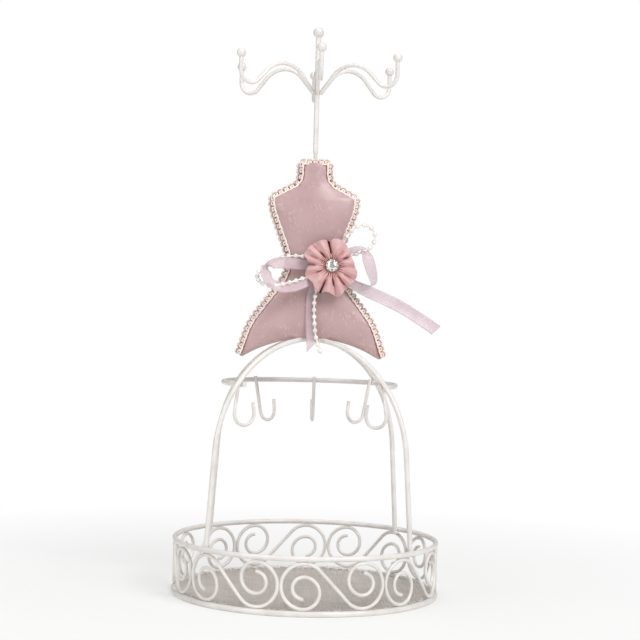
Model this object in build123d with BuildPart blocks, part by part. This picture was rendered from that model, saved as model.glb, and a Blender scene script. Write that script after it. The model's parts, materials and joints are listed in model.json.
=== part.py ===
from build123d import *
import os
from math import acos, atan2, ceil, cos, degrees, pi, radians, sin, sqrt, tan

os.makedirs("parts", exist_ok=True)

# A necklace display rack, in millimetres: a wire tray, a wire dome with a hook rail, a padded dress-form
# bust with a flower and a bow, and a crown of curled arms that turns in the neck. The front faces -Y.

# Clearances
weld_gap = 0.05  # between welded wires, and round a wire in the hole that it is fixed in
seat_gap = 0.3  # between soft pieces and what they lie on
pin_gap = 0.05  # round the crown's pin, on the radius

# Tray
tray_diameter = 160.0
foot_wire = 3.5
foot_flat = 0.25  # depth of the flat that the tray rests on
rim_wire = 3.0
rim_height = 32.0  # centre of the rim wire above the table
floor_thickness = 0.8
mesh_pitch = 8.2
mesh_strand = 1.4
scroll_wire = 2.0
scroll_spacing = 61.5  # about, along the wall: the scrolls share it out evenly
scroll_azimuth = -80.0  # middle of the first scroll
scroll_second_radius = 8.9  # radii of the two inner turns, on the wire's centre
scroll_last_radius = 6.15

# Dome
arch_wire = 3.0
arch_azimuth = 39.0  # each arch's plane from the X axis
arch_height = 155.1  # wire centre of one arch where it hops over the other
arch_radius = 71.0
hop_radius = 10.0  # of the hop's bends
leg_tail = 2.0  # length of leg below its weld on the rim
rail_wire = 3.0
rail_drop = 29.7  # rail below the top of the arches, on the wires' centres
rail_overrun = 2.3  # degrees of the rail past the front legs
hook_wire = 2.0
hook_bend = 6.6
hook_drop = 24.3  # lowest point of the hook's wire centre below the rail
prong_height = 13.2  # tip of the prong above that point
hook_top = 0.6  # end of the shank above the rail
hook_tilt = 8.0  # degrees that the prong leans back
hook_places = ((-30.0, -8.0), (38.0, 14.0), (84.4, 14.0), (131.0, 14.0), (210.0, -8.0))  # azimuth, lean

# Bust: heights are above the top of its concave hem, which hangs past the crossing that its board sits on
hem_hang = 5.9  # top of the hem below the board's seat
notch_width = 16.0  # in the board, for the crossing
neck_half_width = 9.7
neck_length = 12.5
shoulder_slope = 9.0  # rise from the shoulder's point to the neck
shoulder_half_width = 26.4
shoulder_side = 7.3
chest_length = 35.1  # from the waist
waist_half_width = 13.4  # where the lines of chest and skirt would cross
skirt_length = 33.6  # from the hip to the waist
hip_half_width = 38.2
hip_rise = 10.5
hem_half_width = 46.9
hem_slope = 30.0  # degrees
hem_radius = 76.0
neck_corner = 3.2  # outline radii
neck_root_radius = 7.0
shoulder_corner = 4.0
chest_radius = 25.0
waist_radius = 20.0
hip_radius = 40.0
hem_corner = 3.2
core_thickness = 8.0
pad_thickness = 5.0
pad_crown = ((0.0, 1.0), (0.5, 0.985), (0.85, 0.93), (1.0, 0.83))  # share of thickness, share of outline
pad_middle = 47.0  # rise that the outline shrinks to
trim_depth = 2.4
trim_width = 11.0
post_wire = 3.0
socket_diameter = 4.6
socket_length = 34.0

# Flower and bow: places are across and above the hem's top, depths are in front of the padding
bow_place = (9.0, 44.6)
flower_place = (10.8, 45.2)
knot_width = 9.0
knot_height = 8.0
knot_depth = 3.9
backing_diameter = 12.0
backing_thickness = 0.6
petal_count = 8
petal_ring_radius = 11.4
petal_radius = 5.0
petal_depth = 3.0
petal_lift = 3.4  # rise of the petals' rim over their middle
flower_eye_radius = 6.5  # radius where the gathered middle starts to rise
setting_diameter = 7.4
setting_height = 2.6
stone_diameter = 6.2
stone_table = 3.6
stone_crown = 1.1
stone_pavilion = 1.4
ribbon_width = 6.4
ribbon_thickness = 0.4
ribbon_fold = 0.7  # radius of the loops' inner fold
loop_roundness = 0.28  # radius of a loop's far corners, as a share of its spread
left_loop_length = 33.0
left_loop_spread = 13.0
left_loop_slope = -2.0  # degrees down
left_loop_tilt = 35.0  # degrees that the loop's front hangs
right_loop_length = 22.0
right_loop_spread = 9.0
right_loop_slope = -14.0
right_loop_tilt = 22.0
centre_tail_across = -9.6  # middle of the tail's top from the middle of the knot
centre_tail_length = 43.0
centre_tail_drift = 1.0
right_tail_reach = 61.0
right_tail_drop = 29.0
right_tail_sag = 2.6
bead_string = 2.6
left_string = ((2.4, -11.9, 191.2), (-5.5, -16.0, 188.4), (-14.5, -20.6, 185.2), (-24.0, -22.0, 182.8),
               (-31.6, -18.4, 184.6), (-34.0, -11.0, 189.6), (-29.0, -6.6, 195.6), (-20.0, -9.0, 200.4),
               (-10.0, -12.0, 202.0), (0.0, -12.0, 200.8))
right_string = ((15.0, -11.9, 200.2), (21.8, -13.0, 202.6), (29.0, -14.0, 204.4), (35.0, -14.6, 208.4),
                (36.6, -14.8, 215.2), (32.4, -14.8, 220.6), (25.8, -14.4, 220.8), (20.8, -13.2, 216.0),
                (17.2, -12.4, 210.0), (14.6, -12.0, 203.8))
tail_string = ((4.0, -11.9, 188.0), (1.4, -12.2, 179.8), (0.9, -11.6, 170.4), (1.6, -11.6, 160.2),
               (2.8, -11.6, 151.0), (6.0, -11.6, 143.6))

# Crown: heights are above the neck
stem_wire = 3.0
pin_wire = 2.2
pin_show = 5.0  # pin that shows between the neck and the stem
hub_rise = 41.0
stem_ball_rise = 77.3
stem_ball_diameter = 6.4
arm_count = 6
arm_azimuth = 30.0
arm_wire = 2.4
arm_start_angle = 50.0
arm_start_run = 12.5
arm_crest_radius = 16.5
arm_fall_angle = 47.0
arm_fall_run = 8.5
arm_trough_radius = 6.8
arm_ball_rise = 59.5
arm_ball_diameter = 5.4

# Places that follow from the sizes above
wall_radius = (tray_diameter - foot_wire) / 2
foot_height = foot_wire / 2 - foot_flat
rail_height = arch_height - rail_drop
hook_bottom = rail_height - hook_drop
bust_seat = arch_height + arch_wire / 2 + seat_gap
waist_rise = hip_rise + skirt_length
chest_rise = waist_rise + chest_length
shoulder_rise = chest_rise + shoulder_side
neck_root_rise = shoulder_rise + shoulder_slope
neck_rise = neck_root_rise + neck_length
hem_level = bust_seat - hem_hang
neck_top = hem_level + neck_rise
socket_bottom = neck_top - socket_length
pad_front = core_thickness / 2 + weld_gap + pad_thickness
front_plane = Plane(origin=(0, 0, hem_level), x_dir=(1, 0, 0), z_dir=(0, -1, 0))
back_plane = Plane(origin=(0, 0, hem_level), x_dir=(-1, 0, 0), z_dir=(0, 1, 0))
bow_spot = Vector(bow_place[0], -pad_front, hem_level + bow_place[1])
bow_plane = Plane(origin=bow_spot, x_dir=(1, 0, 0), z_dir=(0, -1, 0))
flower_spot = Vector(flower_place[0], -pad_front, hem_level + flower_place[1])
flower_plane = Plane(origin=flower_spot, x_dir=(1, 0, 0), z_dir=(0, -1, 0))
backing_front = 2 * seat_gap + knot_depth + backing_thickness
petal_back = backing_front + seat_gap


def write(piece, name):
    """Label a finished piece and write it as its own file."""
    piece.part.label = name
    export_step(piece.part, f"parts/{name}.step")


def upright_plane(azimuth):
    """Plane through the Z axis whose x runs outwards at the azimuth and whose y is up."""
    angle = radians(azimuth)
    return Plane(origin=(0, 0, 0), x_dir=(cos(angle), sin(angle), 0), z_dir=(sin(angle), -cos(angle), 0))


def heading(angle):
    """Unit direction in a plane at an angle in degrees."""
    return Vector(cos(radians(angle)), sin(radians(angle)))


def bent_wire(azimuth, diameter, spans):
    """A wire bent in the upright plane at azimuth, from straights of two points and arcs through three."""
    plane = upright_plane(azimuth)
    with BuildPart() as piece:
        with BuildLine() as line:
            for span in spans:
                points = [plane.from_local_coords(point) for point in span]
                if len(points) == 2:
                    Line(*points)
                else:
                    ThreePointArc(*points)
        with BuildSketch(Plane(origin=line.wire() @ 0, z_dir=line.wire() % 0)):
            Circle(diameter / 2)
        sweep(path=line.wire())
    return piece


# Bottom ring, with the flat that it rests on
with BuildPart() as bottom_ring:
    with BuildSketch(Plane.XZ):
        with Locations((wall_radius, foot_height)):
            Circle(foot_wire / 2)
        with Locations((wall_radius, 0)):
            Rectangle(foot_wire, foot_wire, align=(Align.CENTER, Align.MAX), mode=Mode.SUBTRACT)
    revolve(axis=Axis.Z)
write(bottom_ring, "bottom_ring")

# Top ring of the tray
with BuildPart() as top_ring:
    with BuildSketch(Plane.XZ):
        with Locations((wall_radius, rim_height)):
            Circle(rim_wire / 2)
    revolve(axis=Axis.Z)
write(top_ring, "top_ring")

# Mesh floor: a disc inside the bottom ring, with square gaps between its strands
floor_radius = wall_radius - foot_wire / 2 - weld_gap
mesh_gap = mesh_pitch - mesh_strand
mesh_rows = 2 * int(floor_radius / mesh_pitch) + 1
mesh_edge = floor_radius - mesh_strand
grid = GridLocations(mesh_pitch, mesh_pitch, mesh_rows, mesh_rows)
cells = [cell for cell in grid if cell.position.length < mesh_edge - mesh_gap / 4]
with BuildSketch() as mesh_gaps:
    with Locations(*cells):
        Rectangle(mesh_gap, mesh_gap)
    Circle(mesh_edge, mode=Mode.INTERSECT)
with BuildPart() as floor_mesh:
    with BuildSketch(Plane.XY.offset(foot_height - floor_thickness / 2)):
        Circle(floor_radius)
        add(mesh_gaps.sketch, mode=Mode.SUBTRACT)
    extrude(amount=floor_thickness)
write(floor_mesh, "floor_mesh")
print("mesh gaps", len(cells))

# Scrolls: each wire winds out of one spiral, crosses on a slant and winds into the other.
# The left half is three clockwise turns in the unrolled wall: height of centre, radius, start, sweep.
scroll_low = foot_height + (foot_wire + scroll_wire) / 2 + weld_gap
scroll_high = rim_height - (rim_wire + scroll_wire) / 2 - weld_gap
scroll_radius = (scroll_high - scroll_low) / 2
scroll_middle = (scroll_high + scroll_low) / 2
scroll_count = round(2 * pi * wall_radius / scroll_spacing)
scroll_half_length = pi * wall_radius / scroll_count - (scroll_wire + weld_gap) / 2
scroll_centre = scroll_half_length - scroll_radius
last_centre = 2 * scroll_second_radius - scroll_radius - scroll_last_radius
slant = degrees(acos(scroll_radius / scroll_centre))
scroll_turns = (
    (last_centre, scroll_last_radius, 270, 180),
    (scroll_second_radius - scroll_radius, scroll_second_radius, 90, 180),
    (0, scroll_radius, 270, 270 - slant),
)


def scroll_stations():
    """Points and directions along a scroll in the unrolled wall."""
    left = []
    for centre, radius, start, sweep_angle in scroll_turns:
        parts = ceil(sweep_angle / 90)
        for part in range(parts):
            angle = start - sweep_angle * part / parts
            left.append((Vector(-scroll_centre, centre) + heading(angle) * radius, heading(angle - 90)))
    left.append((Vector(-scroll_centre, 0) + heading(slant) * scroll_radius, heading(slant - 90)))
    return left + [(point * -1, way) for point, way in reversed(left)]


def on_wall(point, way):
    """Wrap an unrolled point and direction on the tray's wall."""
    angle = radians(scroll_azimuth) + point.X / wall_radius
    place = Vector(wall_radius * cos(angle), wall_radius * sin(angle), scroll_middle + point.Y)
    return place, Vector(-sin(angle) * way.X, cos(angle) * way.X, way.Y)


def biarc(start, start_way, end, end_way):
    """Two arcs that leave start along start_way, meet smoothly and reach end along end_way."""
    chord = end - start
    along = chord.dot(start_way + end_way)
    spread = 2 * (1 - start_way.dot(end_way))
    reach = (sqrt(along**2 + spread * chord.dot(chord)) - along) / spread
    joint = (start + end + (start_way - end_way) * reach) / 2
    TangentArc(start, joint, tangent=start_way)
    TangentArc(joint, end, tangent=chord - (start_way + end_way) * reach)


wall_stations = [on_wall(*station) for station in scroll_stations()]
with BuildPart() as scroll:
    with BuildLine() as scroll_line:
        for (start, start_way), (end, end_way) in zip(wall_stations, wall_stations[1:]):
            biarc(start, start_way, end, end_way)
    with BuildSketch(Plane(origin=wall_stations[0][0], z_dir=wall_stations[0][1])):
        Circle(scroll_wire / 2)
    sweep(path=scroll_line.wire())
print("scroll volume by length", scroll.part.volume / (pi * scroll_wire**2 / 4 * scroll_line.wire().length))
for number in range(scroll_count):
    with BuildPart() as scroll_copy:
        add(scroll.part, rotation=(0, 0, number * 360 / scroll_count))
    write(scroll_copy, f"scroll_{number + 1}")

# Arches: a leg, a round roof and a leg down the other side. One of them hops over the other's top.
# The leg's straight line touches the roof's arc and lies against the inside of the rim.
crossing = arch_wire + weld_gap
roof_centre = Vector(0, arch_height - crossing - arch_radius)
rim_stand_off = (rim_wire + arch_wire) / 2 + weld_gap
rim_way = Vector(wall_radius, rim_height) - roof_centre
leg_lean = degrees(atan2(rim_way.Y, rim_way.X) + acos((arch_radius + rim_stand_off) / rim_way.length))

# The hop is three bends that touch: a rising one off the roof, one over the top, and one back to the roof
hop_centre = Vector(0, arch_height - hop_radius)
hop_side = arch_radius + hop_radius
hop_lift = arch_height - hop_radius - roof_centre.Y
hop_angle = 90 - degrees(acos((hop_lift**2 + hop_side**2 - 4 * hop_radius**2) / (2 * hop_lift * hop_side)))
rise_centre = roof_centre + heading(hop_angle) * hop_side


def mirrored(spans):
    """The same spans on the other side of the axis, in the order that a wire goes on along them."""
    return [[Vector(-point.X, point.Y) for point in reversed(span)] for span in reversed(spans)]


def arch(azimuth, hops, diameter):
    """One arch in the upright plane at azimuth, which hops over the other or lies under it."""
    weld = Vector(wall_radius, rim_height) - heading(leg_lean) * rim_stand_off
    foot = weld + heading(leg_lean - 90) * leg_tail
    roof_stop = hop_angle if hops else 90
    leg_end, haunch, roof_end = (
        roof_centre + heading(angle) * arch_radius
        for angle in (leg_lean, (leg_lean + roof_stop) / 2, roof_stop)
    )
    spans = [(foot, leg_end), (leg_end, haunch, roof_end)]
    if hops:
        hop_end = (rise_centre + hop_centre) / 2
        bend_way = (roof_end + hop_end) / 2 - rise_centre
        spans.append((roof_end, rise_centre + bend_way.normalized() * hop_radius, hop_end))
        over = [(hop_end, Vector(0, arch_height), Vector(-hop_end.X, hop_end.Y))]
        return bent_wire(azimuth, diameter, [*spans, *over, *mirrored(spans)])
    return bent_wire(azimuth, diameter, [*spans, *mirrored(spans)])


arch_over = arch(arch_azimuth, True, arch_wire)
write(arch_over, "arch_over")
arch_under = arch(180 - arch_azimuth, False, arch_wire)
write(arch_under, "arch_under")

# Hook rail: an open hoop against the inside of the four legs, with its gap at the front
rail_stand_off = arch_radius - (arch_wire + rail_wire) / 2 - weld_gap
rail_radius = sqrt(rail_stand_off**2 - (rail_height - roof_centre.Y) ** 2)
rail_end = arch_azimuth + rail_overrun
with BuildPart() as hook_rail:
    with BuildLine() as rail_line:
        CenterArc((0, 0, rail_height), rail_radius, -rail_end, 180 + 2 * rail_end)
    with BuildSketch(Plane(origin=rail_line.wire() @ 0, z_dir=rail_line.wire() % 0)):
        Circle(rail_wire / 2)
    sweep(path=rail_line.wire())
write(hook_rail, "hook_rail")

# Hooks: a shank on the inside of the rail, a round bend and a short prong, all turned to the axis
for number, (azimuth, lean) in enumerate(hook_places):
    weld_radius = rail_radius - ((rail_wire + hook_wire) / 2 + weld_gap) / cos(radians(lean))
    bend_height = hook_bottom + hook_bend * (1 - sin(radians(lean)))
    shank_top = rail_height + rail_wire / 2 + hook_top
    top = Vector(weld_radius - (rail_height - shank_top) * tan(radians(lean)), shank_top)
    bend_start = Vector(weld_radius - (rail_height - bend_height) * tan(radians(lean)), bend_height)
    bend_centre = bend_start - heading(-lean) * hook_bend
    bend_end = bend_centre + heading(180 - hook_tilt) * hook_bend
    prong_way = heading(90 - hook_tilt)
    prong_tip = bend_end + prong_way * ((hook_bottom + prong_height - bend_end.Y) / prong_way.Y)
    bend = (bend_start, bend_centre + heading(-90) * hook_bend, bend_end)
    hook = bent_wire(azimuth, hook_wire, [(top, bend_start), bend, (bend_end, prong_tip)])
    write(hook, f"hook_{number + 1}")

# Bust post on the arch crossing, and the socket in the neck above it
post_top = socket_bottom - weld_gap
with BuildPart() as bust_post:
    with BuildSketch(Plane.XY.offset(post_top)):
        Circle(post_wire / 2)
    extrude(amount=arch_height + arch_wire / 2 + weld_gap - post_top)
write(bust_post, "bust_post")

with BuildPart() as neck_socket:
    with BuildSketch(Plane.XY.offset(socket_bottom)):
        Circle(socket_diameter / 2)
        Circle(pin_wire / 2 + pin_gap, mode=Mode.SUBTRACT)
    extrude(amount=socket_length)
write(neck_socket, "neck_socket")

# Bust outline, across and above the hem's top, from the right of the neck down to the hem
hem_peak = hem_radius * (1 / cos(radians(hem_slope)) - 1)
right_side = (
    (neck_half_width, neck_rise, neck_corner),
    (neck_half_width, neck_root_rise, neck_root_radius),
    (shoulder_half_width, shoulder_rise, shoulder_corner),
    (shoulder_half_width, chest_rise, chest_radius),
    (waist_half_width, waist_rise, waist_radius),
    (hip_half_width, hip_rise, hip_radius),
    (hem_half_width, hem_peak - hem_half_width * tan(radians(hem_slope)), hem_corner),
)
left_side = [(-across, rise, radius) for across, rise, radius in reversed(right_side)]
outline = [*right_side, (0, hem_peak, hem_radius), *left_side]
with BuildSketch() as silhouette:
    with BuildLine():
        Polyline(*[(across, rise) for across, rise, radius in outline], close=True)
    make_face()
    for across, rise, radius in outline:
        fillet(silhouette.vertices().sort_by_distance((across, rise, 0))[0], radius)

with BuildSketch() as cushion:
    add(silhouette.sketch)
    offset(amount=-trim_depth - weld_gap, mode=Mode.REPLACE)

# Bust core: the stiff board inside, notched for the crossing and drilled for the post and the socket
with BuildPart() as bust_core:
    with BuildSketch(front_plane):
        add(cushion.sketch)
        Rectangle(notch_width, 2 * hem_hang, mode=Mode.SUBTRACT)
    extrude(amount=core_thickness / 2, both=True)
    with BuildSketch(Plane.XY.offset(post_top)):
        Circle(post_wire / 2 + weld_gap)
    extrude(amount=-neck_rise, mode=Mode.SUBTRACT)
    with BuildSketch(Plane.XY.offset(post_top)):
        Circle(socket_diameter / 2 + weld_gap)
    extrude(amount=neck_rise, mode=Mode.SUBTRACT)
write(bust_core, "bust_core")

# Padding: crowned cushions on both faces of the board, with channels where the arches come through
channels = [
    arch(arch_azimuth, True, arch_wire + 2 * seat_gap).part,
    arch(180 - arch_azimuth, False, arch_wire + 2 * seat_gap).part,
]
for name, plane in (("bust_front_pad", front_plane), ("bust_back_pad", back_plane)):
    with BuildPart() as pad:
        for thickness_share, outline_share in pad_crown:
            with BuildSketch(plane.offset(core_thickness / 2 + weld_gap + pad_thickness * thickness_share)):
                with Locations((0, pad_middle * (1 - outline_share))):
                    add(scale(cushion.sketch, by=outline_share, mode=Mode.PRIVATE))
        loft()
        add(channels, mode=Mode.SUBTRACT)
    write(pad, name)

# Braid round the edge, from hem corner to hem corner, with a hole for the socket
hem_circle = hem_radius + trim_depth + weld_gap
with BuildPart() as gimp_trim:
    with BuildSketch(front_plane):
        add(silhouette.sketch)
        offset(silhouette.sketch, amount=-trim_depth, mode=Mode.SUBTRACT)
        with Locations((0, -hem_radius)):
            Circle(hem_circle, mode=Mode.SUBTRACT)
    extrude(amount=trim_width / 2, both=True)
    with Locations((0, 0, neck_top)):
        Cylinder(socket_diameter / 2 + weld_gap, trim_width, mode=Mode.SUBTRACT)
write(gimp_trim, "gimp_trim")

# Bow knot: a wound lump of ribbon behind the flower
with BuildPart() as bow_knot:
    with BuildSketch(bow_plane.offset(seat_gap)):
        RectangleRounded(knot_width, knot_height, ribbon_fold)
    extrude(amount=knot_depth)
    fillet(bow_knot.edges().filter_by(GeomType.LINE).filter_by(Axis.Y, reverse=True), ribbon_fold)
write(bow_knot, "bow_knot")


def ribbon_loop(side, length, spread, slope, tilt):
    """A loop of ribbon from the knot's side: a rounded triangle of ribbon whose front half hangs lower."""
    across = Vector(side * cos(radians(slope)), 0, -sin(radians(slope)))
    forwards = Vector(0, -cos(radians(tilt)), -sin(radians(tilt)))
    knot_side = Vector(side * (knot_width / 2 + seat_gap), -seat_gap - knot_depth / 2, 0)
    plane = Plane(origin=bow_spot + knot_side, x_dir=across, z_dir=across.cross(forwards))
    with BuildPart() as piece:
        with BuildSketch(plane) as ring:
            with BuildLine():
                Polyline((0, 0), (length, 0), (length, spread), close=True)
            make_face()
            fillet(ring.vertices().sort_by(Axis.X)[1:], spread * loop_roundness)
            fillet(ring.vertices().sort_by(Axis.X)[0], ribbon_fold)
            offset(amount=-ribbon_thickness, mode=Mode.SUBTRACT)
        extrude(amount=ribbon_width / 2, both=True)
    return piece


bow_left_loop = ribbon_loop(-1, left_loop_length, left_loop_spread, left_loop_slope, left_loop_tilt)
write(bow_left_loop, "bow_left_loop")
bow_right_loop = ribbon_loop(1, right_loop_length, right_loop_spread, right_loop_slope, right_loop_tilt)
write(bow_right_loop, "bow_right_loop")

# Tails: the middle one lies on the padding and ends on a slant, the right one stands out past the waist
tail_plane = bow_plane.offset(seat_gap + ribbon_thickness / 2)
tail_top = -knot_height / 2 - seat_gap
with BuildPart() as bow_centre_tail:
    with BuildSketch(tail_plane):
        left_edge = centre_tail_across - ribbon_width / 2
        tail_end = tail_top - centre_tail_length
        with BuildLine():
            Polyline(
                (left_edge, tail_top),
                (left_edge + ribbon_width, tail_top),
                (left_edge + centre_tail_drift + ribbon_width, tail_end + ribbon_width),
                (left_edge + centre_tail_drift, tail_end),
                close=True,
            )
        make_face()
    extrude(amount=ribbon_thickness / 2, both=True)
write(bow_centre_tail, "bow_centre_tail")

with BuildPart() as bow_right_tail:
    with BuildSketch(tail_plane):
        with BuildLine() as tail_line:
            tail_start = Vector(knot_width / 2, tail_top - ribbon_width / 2)
            SagittaArc(tail_start, tail_start + Vector(right_tail_reach, -right_tail_drop), right_tail_sag)
        trace(tail_line.line, line_width=ribbon_width)
    extrude(amount=ribbon_thickness / 2, both=True)
write(bow_right_tail, "bow_right_tail")

# Strings of small beads tied in with the bow, each as the tube that its beads fill
strings = {"pearl_left_loop": left_string, "pearl_right_loop": right_string, "pearl_tail": tail_string}
for name, points in strings.items():
    stops = [Vector(point) for point in points]
    runs = [after - before for before, after in zip(stops, stops[1:])]
    radii = [
        0.45 * min(before.length, after.length) / tan(radians(before.get_angle(after)) / 2)
        for before, after in zip(runs, runs[1:])
    ]
    with BuildPart() as pearl_string:
        with BuildLine() as line:
            FilletPolyline(*stops, radius=radii)
        with BuildSketch(Plane(origin=stops[0], z_dir=runs[0])):
            Circle(bead_string / 2)
        sweep(path=line.wire())
    string_length = line.wire().length
    print(name, "length", round(string_length, 1), "radii", [round(radius, 1) for radius in radii])
    print(name, "volume by length", pearl_string.part.volume / (pi * bead_string**2 / 4 * string_length))
    write(pearl_string, name)

# Flower: a felt backing, the gathered cloth with its scalloped and lifted rim, and a set stone in the middle
with BuildPart() as flower_backing:
    with BuildSketch(flower_plane.offset(2 * seat_gap + knot_depth)):
        Circle(backing_diameter / 2)
    extrude(amount=backing_thickness)
write(flower_backing, "flower_backing")

flower_axis = Axis(flower_spot, flower_plane.z_dir)
flower_section = Plane(origin=flower_spot, x_dir=(1, 0, 0), z_dir=(0, 0, -1))
petal_reach = petal_ring_radius + petal_radius
with BuildPart() as flower_petals:
    with BuildSketch(flower_section):
        with BuildLine():
            Polyline(
                (0, petal_back),
                (flower_eye_radius, petal_back),
                (petal_reach, petal_back + petal_lift),
                (petal_reach, petal_back + petal_lift + petal_depth / 2),
                (petal_ring_radius, petal_back + petal_lift + petal_depth),
                (setting_diameter / 2 + seat_gap, petal_back + petal_depth / 2),
                (0, petal_back + petal_depth / 2),
                close=True,
            )
        make_face()
    revolve(axis=flower_axis)
    with BuildSketch(flower_plane):
        Circle(petal_ring_radius)
        with PolarLocations(petal_ring_radius, petal_count):
            Circle(petal_radius)
    extrude(amount=petal_back + petal_lift + petal_depth, mode=Mode.INTERSECT)
write(flower_petals, "flower_petals")

setting_base = petal_back + petal_depth / 2 + seat_gap
stone_girdle = setting_base + setting_height
with BuildPart() as stone_setting:
    with BuildSketch(flower_plane.offset(setting_base)):
        Circle(setting_diameter / 2)
    extrude(amount=setting_height)
    with BuildSketch(flower_plane.offset(stone_girdle)):
        Circle(stone_diameter / 2 + weld_gap)
    extrude(amount=-stone_pavilion - weld_gap, mode=Mode.SUBTRACT)
write(stone_setting, "stone_setting")

with BuildPart() as stone:
    with BuildSketch(flower_section):
        with BuildLine():
            Polyline(
                (0, stone_girdle - stone_pavilion),
                (stone_diameter / 2, stone_girdle),
                (stone_table / 2, stone_girdle + stone_crown),
                (0, stone_girdle + stone_crown),
                close=True,
            )
        make_face()
    revolve(axis=flower_axis)
write(stone, "stone")

# Crown stem: the upright wire, with a thinner pin that drops into the neck's socket
stem_bottom = neck_top + pin_show
stem_ball_height = neck_top + stem_ball_rise
with BuildPart() as crown_stem:
    with BuildSketch(Plane.XY.offset(stem_bottom)):
        Circle(stem_wire / 2)
    extrude(amount=stem_ball_height - weld_gap - stem_bottom)
    with BuildSketch(Plane.XY.offset(socket_bottom)):
        Circle(pin_wire / 2)
    extrude(amount=stem_bottom - socket_bottom)
write(crown_stem, "crown_stem")

# Arms: out and up from the stem, over a crest, down into a trough that holds a necklace, and up to a ball
hub = Vector(stem_wire / 2 + weld_gap + arm_wire / 2 * sin(radians(arm_start_angle)), neck_top + hub_rise)
crest_start = hub + heading(arm_start_angle) * arm_start_run
crest_centre = crest_start + heading(arm_start_angle - 90) * arm_crest_radius
crest_end = crest_centre + heading(90 - arm_fall_angle) * arm_crest_radius
trough_start = crest_end + heading(-arm_fall_angle) * arm_fall_run
trough_centre = trough_start + heading(90 - arm_fall_angle) * arm_trough_radius
trough_end = trough_centre + heading(0) * arm_trough_radius
arm_tip = Vector(trough_end.X, neck_top + arm_ball_rise)
arm_spans = [
    (hub, crest_start),
    (crest_start, crest_centre + heading(90) * arm_crest_radius, crest_end),
    (crest_end, trough_start),
    (trough_start, trough_centre + heading(-90) * arm_trough_radius, trough_end),
    (trough_end, arm_tip - Vector(0, weld_gap)),
]
for number in range(arm_count):
    crown_arm = bent_wire(arm_azimuth + number * 360 / arm_count, arm_wire, arm_spans)
    write(crown_arm, f"crown_arm_{number + 1}")


def ball(place, diameter, wire):
    """A ball at place, bored from below to its middle for the wire that carries it."""
    with BuildPart() as piece:
        with Locations(place):
            Sphere(diameter / 2)
        with BuildSketch(Plane(origin=place)):
            Circle(wire / 2 + weld_gap)
        extrude(amount=-diameter, mode=Mode.SUBTRACT)
    return piece


for number in range(arm_count):
    place = upright_plane(arm_azimuth + number * 360 / arm_count).from_local_coords(arm_tip)
    write(ball(place, arm_ball_diameter, arm_wire), f"arm_ball_{number + 1}")
write(ball((0, 0, stem_ball_height), stem_ball_diameter, stem_wire), "stem_ball")
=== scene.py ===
import json
from math import atan2, pi, radians

import bpy
import numpy as np
from mathutils import Matrix, Vector


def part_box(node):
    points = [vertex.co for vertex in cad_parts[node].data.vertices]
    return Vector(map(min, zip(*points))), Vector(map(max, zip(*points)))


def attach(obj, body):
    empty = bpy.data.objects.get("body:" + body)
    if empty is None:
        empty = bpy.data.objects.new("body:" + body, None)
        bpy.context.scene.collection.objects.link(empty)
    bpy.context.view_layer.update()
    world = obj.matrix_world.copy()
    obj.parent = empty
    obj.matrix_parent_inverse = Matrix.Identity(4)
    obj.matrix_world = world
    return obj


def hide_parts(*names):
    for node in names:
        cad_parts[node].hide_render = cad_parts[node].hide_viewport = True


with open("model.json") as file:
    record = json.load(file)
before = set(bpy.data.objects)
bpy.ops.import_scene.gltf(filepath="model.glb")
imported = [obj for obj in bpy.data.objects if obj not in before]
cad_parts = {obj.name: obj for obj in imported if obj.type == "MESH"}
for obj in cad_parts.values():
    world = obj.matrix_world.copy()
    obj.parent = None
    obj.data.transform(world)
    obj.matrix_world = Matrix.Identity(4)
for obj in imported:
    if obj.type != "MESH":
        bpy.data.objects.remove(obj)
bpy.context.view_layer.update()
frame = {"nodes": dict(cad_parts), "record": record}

# Camera: level with the waist of the rack, under a metre away and a little to its left. The photograph
# leans by a degree and a half, so the camera is rolled by as much.
mm = 0.001
photo_width = 640
focal_pixels = 1546
eye = Vector((-37, -929, 166.8)) * mm
aim_right = radians(0.326)  # past the rack's axis
aim_down = radians(0.185)
lean = radians(1.49)
camera_data = bpy.data.cameras.new("camera")
camera_data.sensor_width = 36
camera_data.lens = camera_data.sensor_width * focal_pixels / photo_width
camera = bpy.data.objects.new("camera", camera_data)
turn = atan2(eye.x, -eye.y) - aim_right
camera.matrix_world = (
    Matrix.Translation(eye)
    @ Matrix.Rotation(turn, 4, "Z")
    @ Matrix.Rotation(radians(90) - aim_down, 4, "X")
    @ Matrix.Rotation(lean, 4, "Z")
)
bpy.context.scene.collection.objects.link(camera)
bpy.context.scene.camera = camera


# Bead strings: small pearly plastic beads moulded on a thread, tied in with the bow. Two strings make
# loops beside the flower, and one hangs down the skirt.
def linear(colour):
    """Linear colour from sRGB hex: c / 12.92 up to 0.04045, and ((c + 0.055) / 1.055) ^ 2.4 above."""
    channels = np.array([int(colour[at : at + 2], 16) for at in (1, 3, 5)]) / 255
    bright = ((channels + 0.055) / 1.055) ** 2.4
    return (*np.where(channels <= 0.04045, channels / 12.92, bright), 1.0)


def add_node(tree, kind, inputs, **settings):
    """A shader node with its settings, whose inputs are values or other nodes' outputs."""
    node = tree.nodes.new("ShaderNode" + kind)
    for name, value in settings.items():
        setattr(node, name, value)
    for name, value in inputs.items():
        if isinstance(value, bpy.types.NodeSocket):
            tree.links.new(value, node.inputs[name])
        else:
            node.inputs[name].default_value = value
    return node


def start_material(name):
    """A material with its node tree, its shader and its Object coordinates."""
    material = bpy.data.materials.new(name)
    material.use_nodes = True
    tree = material.node_tree
    place = add_node(tree, "TexCoord", {}).outputs["Object"]
    return material, tree, tree.nodes["Principled BSDF"], place


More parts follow.
